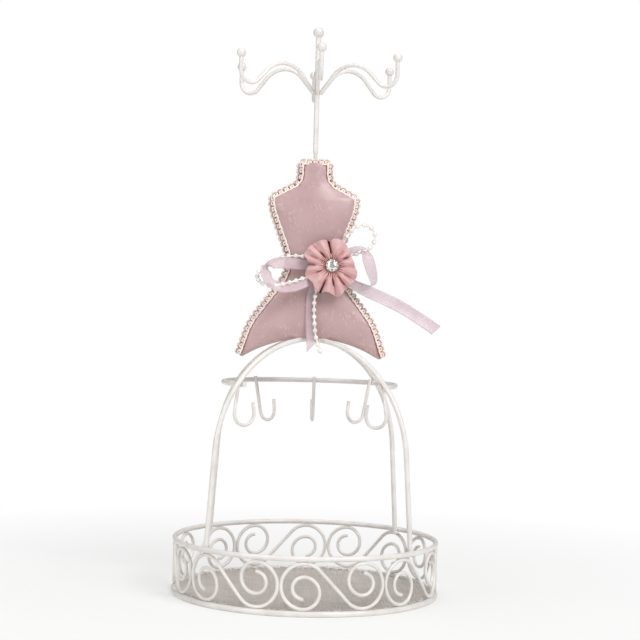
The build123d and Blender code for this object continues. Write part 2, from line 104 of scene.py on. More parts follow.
def route(points):
    """A smooth line pulled by given points: a NURBS spline of order 3, read back as points."""
    curve = bpy.data.curves.new("route", "CURVE")
    curve.dimensions = "3D"
    spline = curve.splines.new("NURBS")
    spline.points.add(len(points) - 1)
    spline.points.foreach_set("co", np.column_stack([points, np.ones(len(points))]).ravel())
    spline.order_u = 3
    spline.use_endpoint_u = True
    spline.resolution_u = 24
    holder = bpy.data.objects.new("route", curve)
    mesh = bpy.data.meshes.new_from_object(holder)
    line = np.empty(len(mesh.vertices) * 3)
    mesh.vertices.foreach_get("co", line)
    bpy.data.objects.remove(holder)
    bpy.data.curves.remove(curve)
    bpy.data.meshes.remove(mesh)
    return line.reshape(-1, 3)


def spaced(line, count):
    """The line again with count points, evenly spaced along it, and its length."""
    along = np.append(0, np.cumsum(np.linalg.norm(np.diff(line, axis=0), axis=1)))
    stops = np.linspace(0, along[-1], count)
    return np.stack([np.interp(stops, along, column) for column in line.T], axis=1), along[-1]


def unit(vectors):
    """Vectors divided by their lengths."""
    return vectors / np.linalg.norm(vectors, axis=-1, keepdims=True)


def tube(lines, radii, sides, across=(0.31, 0.87, 0.38)):
    """Rings round lines: p + r (n cos a + b sin a), with n the part of across that is square to the
    line. Across is any direction that none of the lines runs along."""
    way = unit(np.gradient(lines, axis=-2))
    n = unit(across - (way * across).sum(-1, keepdims=True) * way)
    b = np.cross(way, n)
    angle = np.arange(sides)[:, None] * 2 * pi / sides
    spokes = n[..., None, :] * np.cos(angle) + b[..., None, :] * np.sin(angle)
    return lines[..., None, :] + np.asarray(radii)[..., None, None] * spokes


def quads(numbers, wrap=False):
    """Faces between the rows and columns of a grid of vertex numbers. Wrap joins the last column to the
    first."""
    if wrap:
        numbers = np.concatenate([numbers, numbers[..., :1]], axis=-1)
    this_row, next_row = numbers[..., :-1, :], numbers[..., 1:, :]
    square = [this_row[..., :-1], this_row[..., 1:], next_row[..., 1:], next_row[..., :-1]]
    return np.stack(square, axis=-1).reshape(-1, 4)


def tube_faces(rings):
    """Faces of tubes with closed ends, from the points of their rings."""
    numbers = np.arange(rings.size // 3).reshape(-1, *rings.shape[-3:-1])
    ends = np.concatenate([numbers[:, 0, ::-1], numbers[:, -1]])
    return quads(numbers, wrap=True).tolist() + ends.tolist()


def make_piece(name, points, faces, material, smooth=True):
    """An object at the origin with its place in its mesh."""
    mesh = bpy.data.meshes.new(name)
    mesh.from_pydata(points.reshape(-1, 3), [], faces)
    mesh.materials.append(material)
    mesh.update()
    if smooth:
        mesh.shade_smooth()
    piece = bpy.data.objects.new(name, mesh)
    bpy.context.scene.collection.objects.link(piece)
    return piece


bead_diameter = 2.8 * mm
bead_pitch = 4.3 * mm
bead_neck = 1.0 * mm
bead_rings = 14  # for each bead
string_sides = 12
bead_routes = {
    "pearl_left_loop": (
        (2.4, -11.9, 191.2), (-5.5, -16.0, 188.4), (-14.5, -20.6, 185.2), (-24.0, -22.0, 182.8),
        (-31.6, -18.4, 184.6), (-34.0, -11.0, 189.6), (-29.0, -6.6, 195.6), (-20.0, -9.0, 200.4),
        (-10.0, -12.0, 202.0), (0.0, -12.0, 200.8),
    ),
    "pearl_right_loop": (
        (15.0, -11.9, 200.2), (21.8, -13.0, 202.6), (29.0, -14.0, 204.4), (35.0, -14.6, 208.4),
        (36.6, -14.8, 215.2), (32.4, -14.8, 220.6), (25.8, -14.4, 220.8), (20.8, -13.2, 216.0),
        (17.2, -12.4, 210.0), (14.6, -12.0, 203.8),
    ),
    "pearl_tail": (
        (4.0, -11.9, 188.0), (1.4, -12.2, 179.8), (0.9, -11.6, 170.4), (1.6, -11.6, 160.2),
        (2.8, -11.6, 151.0), (6.0, -11.6, 143.6),
    ),
}

# Moulded pearl plastic is bright, a little warm and glossy under a clear coat.
cloud_size = 3 * mm
pearl, tree, shader, place = start_material("moulded pearl plastic")
clouds = add_node(tree, "TexNoise", {"Vector": place, "Scale": 1 / cloud_size, "Detail": 1.0})
tint = add_node(tree, "ValToRGB", {"Fac": clouds.outputs["Fac"]})
tint.color_ramp.elements[0].position = 0.35
tint.color_ramp.elements[0].color = linear("#E9E1DC")
tint.color_ramp.elements[1].position = 0.65
tint.color_ramp.elements[1].color = linear("#F8F5F1")
tree.links.new(tint.outputs["Color"], shader.inputs["Base Color"])
shader.inputs["Roughness"].default_value = 0.2
shader.inputs["IOR"].default_value = 1.53
shader.inputs["Coat Weight"].default_value = 0.5
shader.inputs["Coat Roughness"].default_value = 0.08

for name, points in bead_routes.items():
    smooth_line = route(np.array(points) * mm)
    length = spaced(smooth_line, 2)[1]
    bead_count = round(length / bead_pitch)
    line, length = spaced(smooth_line, bead_count * bead_rings + 1)
    from_bead = (np.linspace(0, bead_count, len(line)) % 1 - 0.5) * length / bead_count
    radii = np.sqrt(np.maximum(bead_diameter**2 / 4 - from_bead**2, bead_neck**2 / 4))
    rings = tube(line, radii, string_sides, across=(0.3, 0.9, 0.3))
    string = make_piece(name + "_beads", rings, tube_faces(rings), pearl)
    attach(string, "rack")
    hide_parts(name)


# Wires: the tray's rings and scrolls, the dome, the hook rail, the post and the crown, all of mild steel
# wire. They are bent and spot-welded, and powder-coated ivory white after that.
def coat(name, material):
    """Give a CAD node one material."""
    frame["nodes"][name].data.materials.clear()
    frame["nodes"][name].data.materials.append(material)


# Powder coat is smooth and half glossy, and its tone and gloss drift a little along the wire.
coat_shade = "#DED9D4"
coat_light = "#E9E5E1"
drift_size = 9 * mm
ivory, tree, shader, place = start_material("ivory powder coat on steel wire")
drift = add_node(tree, "TexNoise", {"Vector": place, "Scale": 1 / drift_size, "Detail": 2.0})
tint = add_node(tree, "ValToRGB", {"Fac": drift.outputs["Fac"]})
tint.color_ramp.elements[0].position = 0.3
tint.color_ramp.elements[0].color = linear(coat_shade)
tint.color_ramp.elements[1].position = 0.6
tint.color_ramp.elements[1].color = linear(coat_light)
gloss = add_node(tree, "MapRange", {"Value": drift.outputs["Fac"], "To Min": 0.24, "To Max": 0.36})
tree.links.new(tint.outputs["Color"], shader.inputs["Base Color"])
tree.links.new(gloss.outputs["Result"], shader.inputs["Roughness"])
shader.inputs["IOR"].default_value = 1.5
coated_nodes = [
    row["node"] for row in frame["record"]["subparts"] if row["material_slot"] == "coated_wire"
]
for name in coated_nodes:
    coat(name, ivory)

# Neck socket: a short length of drawn steel tube, pushed into the neck, that the crown's pin turns in.
# It is bare metal, dull from the fine marks that drawing left along it.
mark_width = 0.4 * mm
mark_stretch = 0.03  # a mark's width over its length
drawn_steel, tree, shader, place = start_material("drawn steel tube")
along_tube = add_node(tree, "Mapping", {"Vector": place, "Scale": (1, 1, mark_stretch)})
marks = add_node(
    tree, "TexNoise",
    {"Vector": along_tube.outputs["Vector"], "Scale": 1 / mark_width, "Detail": 2.0},
)
gloss = add_node(tree, "MapRange", {"Value": marks.outputs["Fac"], "To Min": 0.25, "To Max": 0.5})
tree.links.new(gloss.outputs["Result"], shader.inputs["Roughness"])
shader.inputs["Base Color"].default_value = linear("#A9A8A6")
shader.inputs["Metallic"].default_value = 1.0
coat("neck_socket", drawn_steel)

# Tray floor: fine wire cloth, plain-woven, cut round and pressed into the bottom ring, with its ragged
# edge turned up against the wire. The real weave is finer than this one, which is drawn to show.
floor_low, floor_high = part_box("floor_mesh")
weave_pitch = 1.8 * mm
strand_radius = 0.3 * mm
strand_rings = 150
strand_sides = 4
ring_gap = 0.4 * mm  # between the cloth and the bottom ring
floor_radius = floor_high.x - ring_gap
bend_radius = 1.2 * mm
edge_rise = (1.4 * mm, 3.0 * mm)  # cloth past the start of the bend, uneven where it was cut
random = np.random.default_rng(7)
rows = np.arange(-int(floor_radius / weave_pitch), int(floor_radius / weave_pitch) + 1)
start_of_bend = floor_radius - bend_radius


def weave(swap):
    """Strands of a plain weave: height is w cos(pi x / p), with every other strand half a wave along.
    Past the start of the bend a strand turns up a quarter circle and then stands."""
    offset = rows[:, None] * weave_pitch
    reach = start_of_bend + random.uniform(*edge_rise, (len(rows), 2))
    low = -np.sqrt(np.maximum(reach[:, :1] ** 2 - offset**2, weave_pitch**2))
    high = np.sqrt(np.maximum(reach[:, 1:] ** 2 - offset**2, weave_pitch**2))
    run = low + (high - low) * np.linspace(0, 1, strand_rings)
    side = np.broadcast_to(offset, run.shape)
    out = np.hypot(run, side)
    past = np.maximum(out - start_of_bend, 0)
    angle = np.minimum(past / bend_radius, pi / 2)
    bent_out = start_of_bend + bend_radius * np.sin(angle)
    inwards = np.where(past > 0, bent_out / np.maximum(out, mm), 1)
    rise = bend_radius * (1 - np.cos(angle)) + np.maximum(past - bend_radius * pi / 2, 0)
    wave = strand_radius * np.cos(pi * run / weave_pitch + pi * rows[:, None] + pi * swap)
    middle = (floor_low.z + floor_high.z) / 2
    flat = [run * inwards, side * inwards]
    return np.stack([flat[swap], flat[1 - swap], middle + wave + rise], axis=-1)


# Wire cloth is dull and blotchy, and its flat part is painted a darker grey: painted shade for the
# shadow seen through its gaps. Its edge stands clear and is given the light colour of the other wire.
edge_top = floor_high.z + 1.5 * mm
blotch_size = 6 * mm
mix_share, mix_from, mix_to, mix_result = 0, 6, 7, 2  # a Mix node's sockets for colours
cloth_wire, tree, shader, place = start_material("coated steel wire cloth")
height = add_node(tree, "SeparateXYZ", {"Vector": place}).outputs["Z"]
edge = add_node(
    tree, "MapRange", {"Value": height, "From Min": floor_high.z, "From Max": edge_top}
)
blotch = add_node(tree, "TexNoise", {"Vector": place, "Scale": 1 / blotch_size, "Detail": 3.0})
# Painted shade: the flat cloth's greys are darkened for the shadow seen through its gaps.
tint = add_node(tree, "ValToRGB", {"Fac": blotch.outputs["Fac"]})
tint.color_ramp.elements[0].position = 0.3
tint.color_ramp.elements[0].color = linear("#C4BCB7")
tint.color_ramp.elements[1].position = 0.7
tint.color_ramp.elements[1].color = linear("#D3CCC7")
shade = add_node(
    tree, "Mix",
    {mix_share: edge.outputs["Result"], mix_from: tint.outputs["Color"], mix_to: linear(coat_light)},
    data_type="RGBA",
)
tree.links.new(shade.outputs[mix_result], shader.inputs["Base Color"])
shader.inputs["Roughness"].default_value = 0.5
strands = np.concatenate([weave(0), weave(1)])
strand_radii = np.full(strands.shape[:2], strand_radius)
rings = tube(strands, strand_radii, strand_sides, across=(0.5, 0.5, 0.7))
wire_cloth = make_piece("wire_cloth_floor", rings, tube_faces(rings), cloth_wire)
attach(wire_cloth, "rack")
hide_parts("floor_mesh")

# Bust: a flat dress form of padded board, covered in dusty pink satin with a faint woven-in sprig. The
# satin is drawn tight over the padding, and its edges are hidden by a braid.
hem_top = 151.0 * mm
# neck top, neck foot, shoulder, chest, waist, hip and hem corner, up from the hem's middle
corner_across = np.array([9.7, 9.7, 26.4, 26.4, 13.4, 38.2, 46.9]) * mm
corner_rise = np.array([108.0, 95.5, 86.5, 79.2, 44.1, 10.5, -15.32]) * mm
corner_radius = np.array([3.2, 7.0, 4.0, 25.0, 20.0, 40.0, 3.2]) * mm
hem_radius = 76.0 * mm
hem_slope = radians(30)
corner_steps = 14


def rounded(across, rise, radius):
    """A line through corners, each rounded by an arc: its centre is on the corner's bisector, at r / sin
    of half the corner's angle, and its ends are where the circle touches the two sides."""
    corners = np.stack([across, rise], axis=1)
    back, ahead = unit(corners[:-2] - corners[1:-1]), unit(corners[2:] - corners[1:-1])
    half = np.arccos(np.clip((back * ahead).sum(1), -1, 1)) / 2
    centre = corners[1:-1] + unit(back + ahead) * (radius / np.sin(half))[:, None]
    start = corners[1:-1] + back * (radius / np.tan(half))[:, None] - centre
    end = corners[1:-1] + ahead * (radius / np.tan(half))[:, None] - centre
    share = np.linspace(0, 1, corner_steps)[:, None]
    sweep = (pi - 2 * half)[:, None, None]
    arcs = start[:, None] * np.sin((1 - share) * sweep) + end[:, None] * np.sin(share * sweep)
    return (centre[:, None] + arcs / np.sin(sweep)).reshape(-1, 2)


def hem(across):
    """Height of the arched hem: part of a circle in the middle, and its tangents to the corners."""
    bend = hem_radius * np.sin(hem_slope)
    arc = np.sqrt(hem_radius**2 - np.minimum(np.abs(across), bend) ** 2) - hem_radius
    return arc - np.maximum(np.abs(across) - bend, 0) * np.tan(hem_slope)


hem_peak = corner_rise[-1] + corner_across[-1] * np.tan(hem_slope)  # where its straight ends would meet
side_across = np.concatenate([[0], corner_across, [0]])
side_rise = np.concatenate([[corner_rise[0]], corner_rise, [hem_peak]])
side_line = rounded(side_across, side_rise, corner_radius)[::-1]

trim_inset = 1.6 * mm  # the satin goes this far under the braid
cloth_half = 5.0 * mm  # half the thickness at the edge
crown_swell = 4.0 * mm
crown_width = 15.0 * mm  # from the edge to the flat of the cushion
chest_swell = 3.2 * mm
chest_rise = 74.0 * mm
skirt_swell = 0.7 * mm
skirt_rise = 14.0 * mm
swell_spread = 17.0 * mm  # of chest and skirt, up and down
waist_rise = corner_rise[4]
pucker_height = 0.12 * mm
pucker_pitch = 5.2 * mm
pucker_slant = 0.8 / mm  # radians of the wave for a length across
pucker_fade = 3.0 * mm  # in from the edge
smoothing_passes = 120  # each evens out the padding between neighbours
batches = 40  # of points, so that the distances fit in memory
rows_up = 170
columns = 121
side_even = spaced(side_line, rows_up)[0]
slope = unit(np.gradient(side_even, axis=0))
side_inset = side_even + np.stack([-slope[:, 1], slope[:, 0]], axis=1) * trim_inset
share = np.sin(np.linspace(-pi / 2, pi / 2, columns))
width, level = side_inset[:, :1], side_inset[:, 1:]
fade = np.maximum(1 - (level - level[0]) / (waist_rise - level[0]), 0)
bust_x = width * share
bust_z = level + fade * (hem(share * width[0]) - hem(width[0]))
outline = np.concatenate(
    [side_inset, side_inset[::-1] * (-1, 1), np.stack([bust_x[0], bust_z[0]], axis=1)]
)
flat = np.stack([bust_x, bust_z], axis=-1).reshape(-1, 2)
edge_distance = np.concatenate(
    [
        np.sqrt(((part[:, None] - outline[None]) ** 2).sum(-1)).min(1)
        for part in np.array_split(flat, batches)
    ]
).reshape(bust_x.shape)

# The padding rises from the edge in a quarter circle, to a crown with a bell-shaped chest and skirt. It
# is evened out as wadding would be, and puckers fade in from the edge.
roll = np.sqrt(1 - (1 - np.clip(edge_distance / crown_width, 0, 1)) ** 2)
chest = chest_swell * np.exp(-(((bust_z - chest_rise) / swell_spread) ** 2))
skirt = skirt_swell * np.exp(-(((bust_z - skirt_rise) / swell_spread) ** 2))
swell = (crown_swell + chest + skirt) * roll
for _ in range(smoothing_passes):
    below_above = swell[:-2, 1:-1] + swell[2:, 1:-1]
    left_right = swell[1:-1, :-2] + swell[1:-1, 2:]
    swell[1:-1, 1:-1] = (below_above + left_right) / 4
pucker_wave = np.sin(2 * pi * bust_z / pucker_pitch + pucker_slant * bust_x)
pucker = pucker_height * pucker_wave * np.exp(-edge_distance / pucker_fade)
bust_y = cloth_half + swell + pucker
front = np.stack([bust_x, -bust_y, bust_z + hem_top], axis=-1)
back = front * (1, -1, 1)
cushion_points = np.stack([front, back])
numbers = np.arange(2 * bust_x.size).reshape(2, *bust_x.shape)
cushion_faces = np.concatenate(
    [
        quads(numbers[0]),
        quads(numbers[1, :, ::-1]),
        quads(numbers[::-1, 0]),
        quads(numbers[:, -1]),
        quads(numbers[:, :, 0]),
        quads(numbers[::-1, :, -1]),
    ]
)


def wave_scale(pitch):
    """Scale of a wave texture for a pitch p: 1 / (pi p), which is about one wave in a pitch."""
    return 1 / (pi * pitch)


# Satin is smooth and lustrous, with a soft broad shine. Its sprigs are woven in the same colour and
# catch the light a little more. Its threads are drawn coarser than they are.
thread = 0.5 * mm
leaf_size = 1.5 * mm
leaf_slant = radians(28)
leaf_shape = (1, 0.3, 0.5)  # the smaller, the longer that way
spray_size = 9 * mm
slub_size = 14 * mm
satin, tree, shader, place = start_material("dusty pink jacquard satin")
turned = add_node(
    tree, "Mapping", {"Vector": place, "Rotation": (0, leaf_slant, 0), "Scale": leaf_shape}
)
dashes = add_node(
    tree, "TexVoronoi", {"Vector": turned.outputs["Vector"], "Scale": 1 / leaf_size}, feature="F1"
)
leaf = add_node(
    tree, "MapRange", {"Value": dashes.outputs["Distance"], "From Min": 0.42, "From Max": 0.22}
)
sprays = add_node(tree, "TexNoise", {"Vector": place, "Scale": 1 / spray_size, "Detail": 1.0})
sprig = add_node(
    tree, "MapRange", {"Value": sprays.outputs["Fac"], "From Min": 0.45, "From Max": 0.60}
)
figure = add_node(
    tree, "Math", {0: leaf.outputs["Result"], 1: sprig.outputs["Result"]}, operation="MULTIPLY"
)
slub = add_node(tree, "TexNoise", {"Vector": place, "Scale": 1 / slub_size, "Detail": 3.0})
ground = add_node(tree, "ValToRGB", {"Fac": slub.outputs["Fac"]})
ground.color_ramp.elements[0].position = 0.3
ground.color_ramp.elements[0].color = linear("#B89899")
ground.color_ramp.elements[1].position = 0.7
ground.color_ramp.elements[1].color = linear("#C2A3A3")
cloth_colour = add_node(
    tree, "Mix",
    {mix_share: figure.outputs["Value"], mix_from: ground.outputs["Color"], mix_to: linear("#C9ADAD")},
    data_type="RGBA",
)
weft = add_node(
    tree, "TexWave", {"Vector": place, "Scale": wave_scale(thread), "Distortion": 0.6},
    bands_direction="Z",
)
bump = add_node(tree, "Bump", {"Height": weft.outputs["Fac"], "Strength": 0.10, "Distance": 0.1 * mm})
tree.links.new(cloth_colour.outputs[mix_result], shader.inputs["Base Color"])
tree.links.new(bump.outputs["Normal"], shader.inputs["Normal"])
shader.inputs["Roughness"].default_value = 0.36
shader.inputs["Specular IOR Level"].default_value = 0.55
shader.inputs["Sheen Weight"].default_value = 0.25
shader.inputs["Sheen Roughness"].default_value = 0.35
shader.inputs["Sheen Tint"].default_value = linear("#F2DADA")
cushion = make_piece("satin_bust", cushion_points, cushion_faces, satin)
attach(cushion, "rack")
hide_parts("bust_front_pad", "bust_back_pad", "bust_core")

# Braid: a woven gimp glued round the edge of the form, from hem corner to hem corner. It has a flat band
# over the side of the form, and a row of cord loops along both edges of the band.
braid_cord = 1.2 * mm
loop_pitch = 3.6 * mm
loop_along = 1.8 * mm
loop_across = 1.05 * mm
loop_steps = 22
loop_lift = 0.45 * braid_cord  # where a loop passes over the next one
loop_out = 0.8  # how far loops lean out from the form, against how far they lean back over it
loop_places = (  # in from the edge of the form, past the edge of the band, and leaning back
    (1.5 * mm, 1.3 * mm, 0.6),
    (0.0, -1.9 * mm, -0.5),
)
cord_sides = 7
band_half = 4.8 * mm
band_depth = 1.1 * mm
band_rows = 360
corner_start = np.argmax(side_line[:, 0])
braid_half = side_line[corner_start:]
braid_line = np.concatenate([braid_half, braid_half[::-1] * (-1, 1)])
braid_length = spaced(braid_line, 2)[1]
loop_count = round(braid_length / loop_pitch)


def braid_frame(count):
    """Points along the braid, with the directions along it and outwards from the form."""
    flat_line = spaced(braid_line, count)[0]
    way = unit(np.gradient(flat_line, axis=0))
    zero = np.zeros(count)
    points = np.stack([flat_line[:, 0], zero, flat_line[:, 1] + hem_top], axis=1)
    along = np.stack([way[:, 0], zero, way[:, 1]], axis=1)
    outwards = np.stack([way[:, 1], zero, -way[:, 0]], axis=1)
    return points, along, outwards


# Rayon cord is creamy with a soft sheen, and the twist of its plies breaks up the light on it.
fleck_size = 2.2 * mm
ply_pitch = 0.6 * mm
braid, tree, shader, place = start_material("cream rayon gimp braid")
drift = add_node(tree, "TexNoise", {"Vector": place, "Scale": 1 / fleck_size, "Detail": 2.0})
tint = add_node(tree, "ValToRGB", {"Fac": drift.outputs["Fac"]})
tint.color_ramp.elements[0].position = 0.3
tint.color_ramp.elements[0].color = linear("#EBD3C8")
tint.color_ramp.elements[1].position = 0.65
tint.color_ramp.elements[1].color = linear("#F8EEE7")
ply = add_node(
    tree, "TexWave", {"Vector": place, "Scale": wave_scale(ply_pitch), "Distortion": 2.0},
    bands_direction="DIAGONAL",
)
bump = add_node(tree, "Bump", {"Height": ply.outputs["Fac"], "Strength": 0.35, "Distance": 0.12 * mm})
tree.links.new(tint.outputs["Color"], shader.inputs["Base Color"])
tree.links.new(bump.outputs["Normal"], shader.inputs["Normal"])
shader.inputs["Roughness"].default_value = 0.5
shader.inputs["Sheen Weight"].default_value = 0.3

# Ribbed cotton is matt, coloured dark rosy brown: painted shade for the shadow between the loops.
rib_pitch = 0.9 * mm
band, tree, shader, place = start_material("cotton braid ground in painted shade")
rib = add_node(
    tree, "TexWave", {"Vector": place, "Scale": wave_scale(rib_pitch), "Distortion": 1.0},
    bands_direction="DIAGONAL",
)
tint = add_node(tree, "ValToRGB", {"Fac": rib.outputs["Fac"]})
tint.color_ramp.elements[0].color = linear("#A97A6E")
tint.color_ramp.elements[1].color = linear("#C79E90")
bump = add_node(tree, "Bump", {"Height": rib.outputs["Fac"], "Strength": 0.4, "Distance": 0.15 * mm})
tree.links.new(tint.outputs["Color"], shader.inputs["Base Color"])
tree.links.new(bump.outputs["Normal"], shader.inputs["Normal"])
shader.inputs["Roughness"].default_value = 0.7

points, along, outwards = braid_frame(band_rows)
section = np.array(  # outwards in shares of the depth, and across in shares of half the width
    [(-0.2, -1.0), (0.6, -1.0), (1.0, -0.85), (1.0, 0.85), (0.6, 1.0), (-0.2, 1.0)]
)
depthwise = np.array([0.0, 1.0, 0.0])
band_points = (
    points[:, None]
    + outwards[:, None] * (section[:, :1] - 1) * band_depth
    + depthwise * section[:, 1:] * band_half
)
braid_band = make_piece("braid_band", band_points, tube_faces(band_points), band)
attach(braid_band, "rack")
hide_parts("gimp_trim")

# A loop's cord goes round as it goes along: a sin t along the braid, and -b cos t across it.
points, along, outwards = braid_frame(loop_count * loop_steps + 1)
phase = (np.arange(len(points)) * 2 * pi / loop_steps)[:, None]
loop_rows = []
for face in (-1, 1):
    for inset, past_band, lean_back in loop_places:
        tilt = unit(outwards * loop_out - face * depthwise * lean_back)
        row = points + along * loop_along * np.sin(phase) - tilt * loop_across * np.cos(phase)
        depth = band_half + past_band + loop_lift * np.cos(phase / 2) ** 2
        loop_rows.append(row - outwards * inset + face * depthwise * depth)
cords = np.stack(loop_rows)
rings = tube(cords, np.full(cords.shape[:2], braid_cord / 2), cord_sides)
braid_cords = make_piece("braid_loops", rings, tube_faces(rings), braid)
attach(braid_cords, "rack")

# A thin dark tube on each face along the inner edge of the braid: painted shadow where the loops meet
# the satin.
gap_shadow_radius = 0.42 * mm
gap_shadow_inset = 3.0 * mm  # in from the edge of the form
gap_shadow_depth = cloth_half + 1.75 * mm  # from the middle of the form
gap_shadow_sides = 6
points, along, outwards = braid_frame(band_rows)
gap_shadow_lines = np.stack(
    [points - outwards * gap_shadow_inset + face * depthwise * gap_shadow_depth for face in (-1, 1)]
)
rings = tube(gap_shadow_lines, np.full(gap_shadow_lines.shape[:2], gap_shadow_radius), gap_shadow_sides)

# A matt dark brown with a twisted stripe: painted shadow, a thin dark line in the gap between braid and
# satin.
twist_pitch = 0.8 * mm
gap_shadow_material, tree, shader, place = start_material("dark cord painted as gap shadow")
twist = add_node(
    tree, "TexWave", {"Vector": place, "Scale": wave_scale(twist_pitch)}, bands_direction="DIAGONAL"
)
tint = add_node(tree, "ValToRGB", {"Fac": twist.outputs["Fac"]})
tint.color_ramp.elements[0].color = linear("#80524B")
tint.color_ramp.elements[1].color = linear("#9C6D64")
tree.links.new(tint.outputs["Color"], shader.inputs["Base Color"])
shader.inputs["Roughness"].default_value = 0.8
braid_gap_shadow = make_piece("braid_gap_shadow", rings, tube_faces(rings), gap_shadow_material)
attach(braid_gap_shadow, "rack")

# Bow: narrow satin ribbon, tied behind the flower into two loops and two tails. Its ends are cut on a
# slant, and its loops twist as they turn back.
ribbon_width = 6.6 * mm
ribbon_thickness = 0.22 * mm
ribbon_rows = 120
ribbon_columns = 9
ribbon_bow = 0.10  # of half its width
ribbon_bow_rest = 0.4  # keeps the bowed strip about level with its line
cut_share = 0.1  # of its length, that a slanting end takes up


def ribbon_strip(name, stops, edges, widths, cut=(0, 0)):
    """A strip along a smooth line: p + (w / 2) v across, for v from -1 to 1, bowed by a small share of
    its width. Each stop has a direction across the strip and a share of the ribbon's width, and cut
    slants the two ends."""
    line = spaced(route(np.array(stops) * mm), ribbon_rows)[0]
    reading = np.linspace(0, 1, ribbon_rows)
    knots = np.linspace(0, 1, len(stops))
    columns_across = [np.interp(reading, knots, column) for column in np.array(edges, float).T]
    across = unit(np.stack(columns_across, axis=1))
    way = unit(np.gradient(line, axis=0))
    across = unit(across - (across * way).sum(1, keepdims=True) * way)
    face = np.cross(way, across)
    half = np.interp(reading, knots, widths)[:, None] * ribbon_width / 2
    v = np.linspace(-1, 1, ribbon_columns)
    slant = np.maximum(1 - reading / cut_share, 0) * cut[0]
    slant += np.maximum(1 - (1 - reading) / cut_share, 0) * cut[1]
    grid = line[:, None] + (half * v)[..., None] * across[:, None]
    grid += (half * (v**2 - ribbon_bow_rest) * ribbon_bow)[..., None] * face[:, None]
    grid += (slant[:, None] * v * ribbon_width / 2)[..., None] * way[:, None]
    numbers = np.arange(grid.size // 3).reshape(grid.shape[:2])
    piece = make_piece(name, grid, quads(numbers), ribbon)
    solidify = piece.modifiers.new("cloth", "SOLIDIFY")
    solidify.thickness = ribbon_thickness
    solidify.offset = 0
    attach(piece, "rack")
    return piece


# Thin polyester satin has a soft shine and fine lines across it, and what is behind it shows through a
# little.
sheen_size = 8 * mm
line_pitch = 0.45 * mm
ribbon, tree, shader, place = start_material("pale mauve polyester satin ribbon")
drift = add_node(tree, "TexNoise", {"Vector": place, "Scale": 1 / sheen_size, "Detail": 2.0})
tint = add_node(tree, "ValToRGB", {"Fac": drift.outputs["Fac"]})
tint.color_ramp.elements[0].position = 0.3
tint.color_ramp.elements[0].color = linear("#D2B9C1")
tint.color_ramp.elements[1].position = 0.7
tint.color_ramp.elements[1].color = linear("#DFCAD1")
cord_lines = add_node(
    tree, "TexWave", {"Vector": place, "Scale": wave_scale(line_pitch), "Distortion": 1.5},
    bands_direction="X",
)
bump = add_node(
    tree, "Bump", {"Height": cord_lines.outputs["Fac"], "Strength": 0.08, "Distance": 0.1 * mm}
)
tree.links.new(tint.outputs["Color"], shader.inputs["Base Color"])
tree.links.new(bump.outputs["Normal"], shader.inputs["Normal"])
shader.inputs["Roughness"].default_value = 0.38
shader.inputs["Alpha"].default_value = 0.52  # thin enough to show what is behind it
shader.inputs["Sheen Weight"].default_value = 0.3
shader.inputs["Sheen Tint"].default_value = linear("#FBEFF4")

left_loop = ribbon_strip(
    "ribbon_left_loop",
    [(5.5, -12.4, 196.0), (-5, -12.8, 196.4), (-16, -13.4, 197.2), (-23, -13.8, 197.0),
     (-27.5, -15.5, 194.5), (-28.3, -19.5, 189.0), (-24.5, -22.5, 183.6), (-16, -21.0, 182.2),
     (-5, -16.5, 185.2), (5.0, -12.4, 190.5)],
    [(0, 0.1, 1), (0, 0.1, 1), (0, 0.2, 1), (0.15, 0.4, 0.9), (0.55, 0.7, 0.55), (0.75, 0.6, 0.35),
     (0.3, 0.35, 0.9), (0, 0.3, 1), (-0.15, 0.3, 0.95), (-0.2, 0.2, 1)],
    [0.55, 0.85, 1.05, 1.05, 1, 1, 1.05, 1.05, 0.85, 0.55],
)
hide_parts("bow_left_loop")
right_loop = ribbon_strip(
    "ribbon_right_loop",
    [(13.0, -12.6, 200.0), (19, -12.4, 204.0), (25, -12.4, 206.6), (30.0, -14.6, 206.4),
     (31.4, -17.4, 202.5), (33.2, -17.8, 196.5), (35.2, -16.6, 190.5), (36.4, -14.6, 185.0),
     (30, -12.6, 184.8), (22, -12.2, 187.8), (14, -12.0, 191.5)],
    [(0, 0.3, 1), (-0.3, 0.4, 1), (-0.2, 0.7, 0.7), (0.4, 0.8, 0.2), (1, 0.1, 0.1), (1, 0.25, 0.2),
     (0.7, 0.7, 0.1), (0.1, 1, 0), (0.1, 1, 0.3), (0.2, 0.5, 0.8), (0.2, 0.2, 1)],
    [0.5, 0.6, 0.75, 0.95, 1.05, 1, 0.95, 0.9, 0.85, 0.7, 0.5],
)
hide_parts("bow_right_loop")
centre_tail = ribbon_strip(
    "ribbon_centre_tail",
    [(4.5, -11.0, 190.0), (1.0, -11.3, 186.5), (-1.2, -10.4, 180.0), (-1.5, -10.2, 170.0),
     (-0.9, -10.4, 160.0), (-0.2, -10.7, 153.0), (0.0, -11.0, 147.3)],
    [(1, 0.2, 0.6), (1, 0.3, 0.35), (1, 0.15, 0.1), (1, 0.05, 0), (1, 0, 0), (1, -0.05, 0),
     (1, -0.1, 0)],
    [0.55, 0.62, 0.72, 0.78, 0.82, 0.84, 0.84],
    cut=(0, -0.85),
)
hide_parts("bow_centre_tail")
right_tail = ribbon_strip(
    "ribbon_right_tail",
    [(12.5, -11.6, 190.5), (20, -11.6, 187.0), (30, -11.4, 182.6), (41, -11.1, 178.2),
     (52, -11.0, 173.2), (63, -11.4, 166.8), (74.2, -12.0, 159.4)],
    [(0.35, 0.2, 1), (0.35, 0.15, 1), (0.36, 0.1, 1), (0.4, 0.15, 1), (0.48, 0.25, 1), (0.55, 0.3, 1),
     (0.6, 0.3, 1)],
    [0.6, 0.95, 1.1, 1.12, 1.12, 1.12, 1.12],
    cut=(0, 0.25),
)
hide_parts("bow_right_tail")
